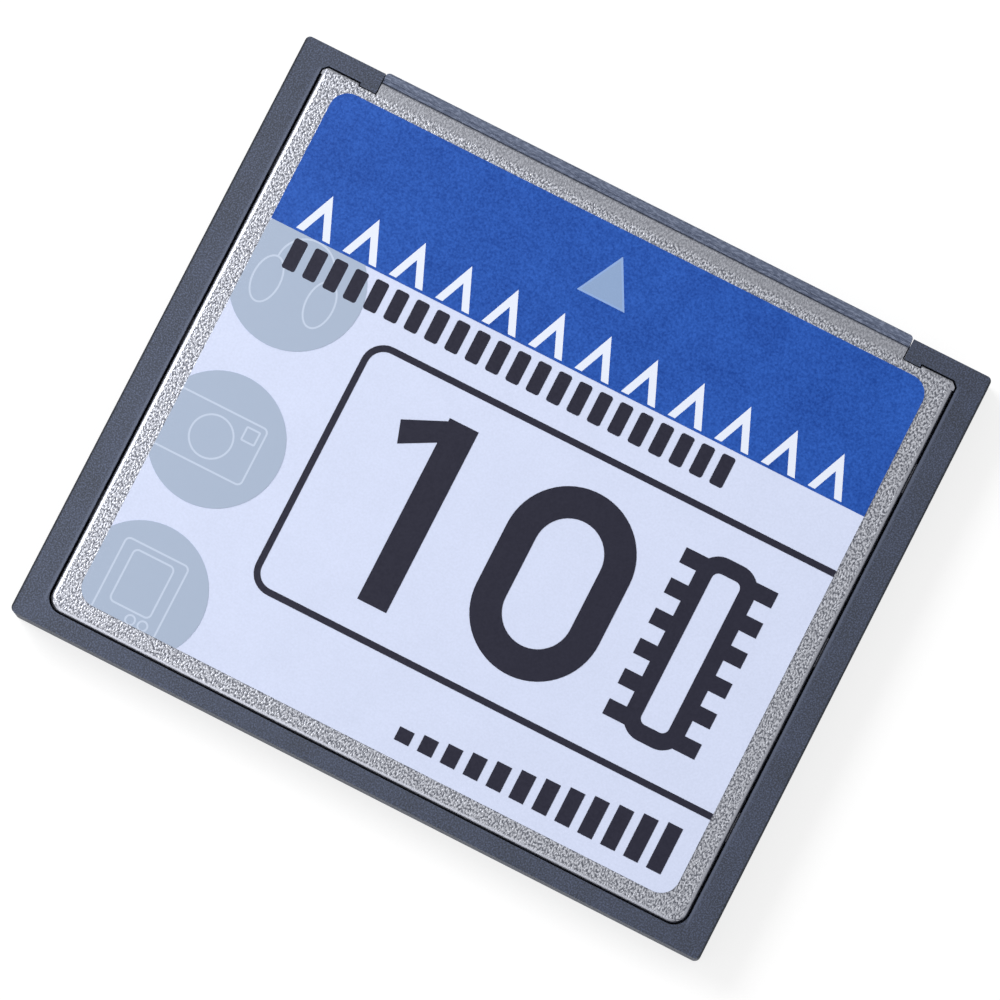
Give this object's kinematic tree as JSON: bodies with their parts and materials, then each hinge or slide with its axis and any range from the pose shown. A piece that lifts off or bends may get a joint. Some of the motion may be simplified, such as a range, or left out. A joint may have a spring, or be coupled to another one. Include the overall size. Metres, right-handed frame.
{
  "type": "flash memory card",
  "caption": "Flat flash memory card with a plastic frame, folded steel covers, a printed label and a two-row socket connector at its front edge.",
  "frame": {"origin": "centre of the underside, on the outer face of the bottom cover", "axes": "+X across the card to the right with the label up and the connector ahead, +Y out of the connector end, +Z out of the label side"},
  "size_m": [0.0428, 0.0364, 0.0033],
  "materials": {
    "frame": "matte",
    "covers": "satin",
    "films": "gloss",
    "label": "satin",
    "blue_print": "satin",
    "grey_print": "satin",
    "white_print": "satin",
    "dark_print": "satin",
    "connector": "satin",
    "contacts": "polished",
    "board": "gloss",
    "pads": "satin",
    "chips": "matte",
    "leads": "satin",
    "ceramic_parts": "satin",
    "resistors": "satin"
  },
  "bodies": {
    "root": {"frame": "frame", "top_cover": "covers", "bottom_cover": "covers", "top_insulator": "films", "bottom_insulator": "films", "label": "label", "label_blue_print": "blue_print", "label_grey_print": "grey_print", "label_white_print": "white_print", "label_dark_print": "dark_print", "connector_housing": "connector", "upper_contacts": "contacts", "lower_contacts": "contacts", "circuit_board": "board", "board_pads": "pads", "upper_memory_chip": "chips", "upper_memory_leads": "leads", "lower_memory_chip": "chips", "lower_memory_leads": "leads", "controller_chip": "chips", "controller_leads": "leads", "regulator_body": "chips", "regulator_leads": "leads", "crystal_base": "ceramic_parts", "crystal_lid": "leads", "capacitor_bodies": "ceramic_parts", "capacitor_terminals": "leads", "resistor_bodies": "resistors", "resistor_terminals": "leads"}
  },
  "joints": []
}
